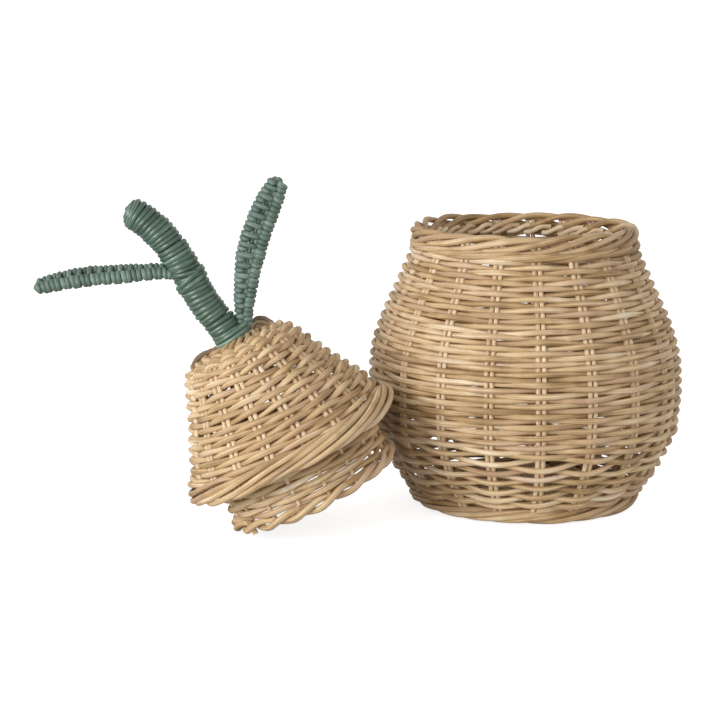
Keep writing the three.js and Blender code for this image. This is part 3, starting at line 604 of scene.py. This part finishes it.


# A mid green satin paint, worn thin in places; its palest shade makes lengths of painted highlight
green_paint = cane_skin("green satin paint over cane", ("25392d", "3f5646", "4f6958", "8ca694"),
                        blush="4a6155", roughness=0.28, stain="98a494", stain_share=0.24, gloss=0.8)
stem_stick = 4.2
stem_route = [(-1.2, 0, 65.4), (-3.1, 0, 80), (-5.7, 0, 93), (-6.6, 0, 108.8), (-6.9, 0, 122.3),
              (-9.5, 0, 137.6), (-14.7, 0, 150.6), (-19.6, 0, 156.9)]
stem_line, stem_along, stem_length = space_curve(stem_route, 60)
aside = np.array([0.0, 1.0, 0.0])
stem_across = np.cross(aside, stem_along)
sticks = [(stem_line[:-3], False, 0.5, 1.0)]
for index in range(6):
    turn = pi * index / 3
    beside = np.cos(turn) * aside + np.sin(turn) * stem_across[:-3]
    sticks.append((stem_line[:-3] + stem_stick * beside, False, index / 6, 1.0))
lay_canes("stem_sticks", sticks, green_paint, stem_stick, "lid", ["stem_core"],
          {**leaning, "Unevenness": 0.0})

# Stem winding
# One painted cane wound closely round the sticks from the crown to the tip, where it closes over the
# blunt end. More wraps cross it where the leaves are tied on.
wound_cane = 3.2
wound_radius = 7.35
wound_pitch = 2.6
blunt = 5.2
closing = 4
plain = (stem_length - blunt) / wound_pitch
step = np.arange(0, plain + closing, 1 / 18)
over = np.clip((step - plain) / closing, 0, 1) * pi / 2
climbed = np.minimum(step, plain) * wound_pitch + blunt * np.sin(over)
place = climbed / stem_length * (len(stem_line) - 1)
route, route_along = along_rows(stem_line, place), along_rows(stem_along, place)
reach = wound_radius * np.cos(over * 0.92) + 0.22 * drift(step * 1.3, 90)
wind = 2 * pi * step
across = np.cross(aside, route_along)
slip = 0.3 * drift(step * 1.1, 93)[:, None] * route_along
path = route + slip + reach[:, None] * (np.cos(wind)[:, None] * aside + np.sin(wind)[:, None] * across)
wraps = [(path, False, 0.3, 1 + 0.06 * drift(step * 0.7, 91))]
# Three rings aslant round the stem at the level leaf: share of the height, slant, how far outside
round_once = np.linspace(0, 2 * pi, 40, endpoint=False)[:, None]
for height, slant, outside in ((0.48, 0.34, 1.0), (0.51, -0.3, 1.1), (0.45, 0.16, 0.9)):
    at = int(height * (len(stem_line) - 1))
    facing = np.cos(round_once) * aside + np.sin(round_once) * stem_across[at]
    ring = stem_line[at] + (wound_radius + outside) * facing
    ring = ring + slant * wound_radius * np.sin(round_once) * 0.9 * stem_along[at]
    wraps.append((ring, True, height, 0.95))
# Three long rings round the stem and the upright leaf together, at their foot
tie_low = 68.4
for height in (tie_low, tie_low + 2.4, tie_low + 4.9):
    tie_reach = np.array([10.3 - (height - tie_low) * 0.12, 0, 1.3])
    ring = (np.array([-0.3, 0, height]) + np.cos(round_once) * tie_reach
            + np.sin(round_once) * np.array([0, 8.7, 0]))
    wraps.append((ring, True, height / 9, 0.95))
lay_canes("stem_wound_cane", wraps, green_paint, wound_cane, "lid", ["stem_winding"],
          {**leaning, "Unevenness": 0.0006})


# Leaf frames
# Each leaf is one painted cane bent round at the tip, with a midrib of two canes between its sides.
# One leaf stands out level from the stem, the other rises beside it.
def leaf_shape(corners, level, widths):
    """The midrib, the directions across the leaf and out of its upper face, and half its width in mm."""
    line, along, length = space_curve(corners, 200)
    near = np.tile(-aside, (len(line), 1))
    if level:
        across, up = near, np.cross(along, near)
    else:
        across, up = np.cross(aside, along), near
    roll = radians(-20 if level else 6)
    across, up = across * np.cos(roll) + up * np.sin(roll), up * np.cos(roll) - across * np.sin(roll)
    shares, halves = np.array(widths, float).T
    return line, across, up, np.interp(np.linspace(0, 1, 200), shares, halves), length


def leaf_frame(shape):
    """The cane bent round the leaf, and the two canes of its midrib."""
    line, across, _, wide, _ = shape
    left = line - across * wide[:, None]
    right = line + across * wide[:, None]
    loop = np.vstack([left[::6], left[-1:], right[-1:], right[::-6]])
    middle = 0.26 * across * wide[:, None]
    ribs = [(rib[::8], False, 0.6, 1.0) for rib in (line - middle, line + middle)]
    return [(loop, False, 0.3, 1.0)] + ribs


# The same green, duller, lighter and greyer on the rough weave of the leaves, with whitish spots
greyer_green_paint = cane_skin("green paint over cane, greyer", ("405348", "5b6f63", "6f8378", "a2b1a7"),
                        blush="65786f", roughness=0.42, stain="aab3a8", stain_share=0.42, gloss=0.45)
rib_cane = 2.4
side_leaf = leaf_shape([(-12.5, 0, 116.0), (-18.8, 0, 120), (-23.8, 0, 122.4), (-38.8, 0, 128.7),
                        (-53.6, 0, 135), (-69.3, 0, 140), (-83.0, 0, 143.2)], True,
                       [(0, 1.4), (0.12, 2.0), (0.3, 3.2), (0.5, 4.2), (0.68, 4.4), (0.82, 3.6),
                        (0.93, 2.6), (1, 1.2)])
upright_leaf = leaf_shape([(6.9, 0, 71.5), (8.7, 0, 76.2), (11.2, 0, 81.3), (18.6, 0, 92.8),
                           (26.2, 0, 103.6), (35.2, 0, 113.6), (45.6, 0, 122.9), (54.1, 0, 129.7),
                           (61.0, 0, 134.9)], False,
                          [(0, 1.2), (0.15, 1.8), (0.24, 2.9), (0.38, 3.6), (0.5, 4.6), (0.6, 4.5),
                           (0.8, 4.2), (0.9, 3.4), (0.97, 2.2), (1, 0.5)])
for name, shape in (("side_leaf", side_leaf), ("upright_leaf", upright_leaf)):
    lay_canes(name + "_frame", leaf_frame(shape), greyer_green_paint, rib_cane, "lid", [name + "_ribs"],
              {**leaning, "Unevenness": 0.0})


# Leaf weave
# A thin painted cane woven over and under the three ribs from the stem to the tip.
# Its turns stand out as knuckles along both edges.
def leaf_weave(shape, first, last, seed):
    """The weaver goes over one side and the midrib, twice round the other side, and back underneath."""
    line, across, up, wide, length = shape
    # Each corner: share of the half width, reach past the rib, side of the leaf, share of the advance
    corners = np.array([(-1, -1, 0, 0), (-1, 0, 1, 0.02), (0, 0, 1, 0.05), (0.5, 0, 0, 0.08),
                        (1, 0, -1, 0.12), (1, 1, 0, 0.16), (1, 0, 1, 0.22), (0.5, 0, 0, 0.32),
                        (1, 0, -1, 0.46), (1, 1, 0, 0.6), (1, 0, 1, 0.72), (0.5, 0, 0, 0.72),
                        (0, 0, -1, 0.66), (-1, 0, -1, 0.58), (-1, -1, 0, 0.54), (-1, 0, 1, 0.52),
                        (-0.5, 0, 0, 0.58), (-1, 0, -1, 0.74)], float)
    cycles = length * (last - first) / leaf_advance
    turn = np.arange(0, cycles, 1 / (6 * len(corners)))
    looped = np.vstack([corners, corners[:1] + [0, 0, 0, 1]])
    pick = along_rows(looped, (turn % 1) * len(corners)).T
    smooth = [np.convolve(np.pad(values, 2, "edge"), np.ones(5) / 5, "valid") for values in pick[:3]]
    share = first + (last - first) * (np.floor(turn) + pick[3]) / cycles
    place = np.clip(share, 0, 1) * (len(line) - 1)
    half = np.interp(place, np.arange(len(line)), wide)
    out = smooth[0] * half + smooth[1] * (rib_cane + leaf_cane) / 2
    lift = smooth[2] * (rib_cane + leaf_cane) / 2 * (1 + 0.1 * drift(turn * 2, seed))
    here, aslant, above = [along_rows(rows, place) for rows in (line, across, up)]
    return here + aslant * out[:, None] + above * lift[:, None], turn


leaf_cane = 3.15
leaf_advance = 5.5
for name, shape, seed in (("side_leaf", side_leaf, 120), ("upright_leaf", upright_leaf, 130)):
    path, turn = leaf_weave(shape, 0.02, 0.995, seed)
    lay_canes(name + "_woven_cane", [(path, False, 0.4, 1 + 0.07 * drift(turn * 2, seed + 1))], greyer_green_paint,
              leaf_cane, "lid", [name + "_weave"], {**leaning, "Unevenness": 0.0006})

# Floor and light
# A plain white floor that runs to the horizon, under a white surround that is dimmer overhead.
# One soft lamp stands in front at the left, and a weak one at the right lifts the shadows.
floor_half = 60
floor_mesh = bpy.data.meshes.new("floor")
floor_mesh.from_pydata([(-floor_half, -floor_half, 0), (floor_half, -floor_half, 0),
                        (floor_half, floor_half, 0), (-floor_half, floor_half, 0)], [], [(0, 1, 2, 3)])
floor = bpy.data.objects.new("floor", floor_mesh)
bpy.context.scene.collection.objects.link(floor)
# White paper that glows for the camera alone, so that it is white but still holds the basket's shadow
paper = bpy.data.materials.new("white paper")
paper.use_nodes = True
tree = paper.node_tree
tree.nodes.clear()
seen = add(tree, "ShaderNodeLightPath").outputs["Is Camera Ray"]
lit = add(tree, "ShaderNodeBsdfDiffuse", {"Color": (0.66, 0.66, 0.66, 1)}).outputs[0]
glow = add(tree, "ShaderNodeMath", {0: seen, 1: 0.8}, operation="MULTIPLY").outputs[0]
glow = add(tree, "ShaderNodeEmission", {"Strength": glow}).outputs[0]
both = add(tree, "ShaderNodeAddShader", {0: lit, 1: glow}).outputs[0]
add(tree, "ShaderNodeOutputMaterial", {"Surface": both})
floor_mesh.materials.append(paper)
world = bpy.data.worlds.new("surround")
world.use_nodes = True
tree = world.node_tree
tree.nodes.clear()
seen = add(tree, "ShaderNodeLightPath").outputs["Is Camera Ray"]
height = add(tree, "ShaderNodeTexCoord").outputs["Generated"]
height = add(tree, "ShaderNodeSeparateXYZ", {0: height}).outputs["Z"]
level = add(tree, "ShaderNodeMapRange", {"Value": height, "From Min": 0.3, "To Min": 0.98,
                                         "To Max": 0.3}).outputs[0]
level = add(tree, "ShaderNodeMapRange", {"Value": seen, "To Min": level, "To Max": 1.0}).outputs[0]
sky = add(tree, "ShaderNodeBackground", {"Color": (1, 1, 1, 1), "Strength": level}).outputs[0]
add(tree, "ShaderNodeOutputWorld", {"Surface": sky})
bpy.context.scene.world = world
for name, place, turn, size, power in (("key", (-1.25, -1.2, 0.46), (77, 0, -44), 0.9, 20.5),
                                       ("fill", (1.4, -1.0, 0.9), (62, 0, 55), 1.2, 1.8)):
    lamp = bpy.data.lights.new(name, "AREA")
    lamp.size = size
    lamp.energy = power
    holder = bpy.data.objects.new(name, lamp)
    holder.location = place
    holder.rotation_euler = [radians(v) for v in turn]
    bpy.context.scene.collection.objects.link(holder)
bpy.context.scene.view_settings.view_transform = "Standard"
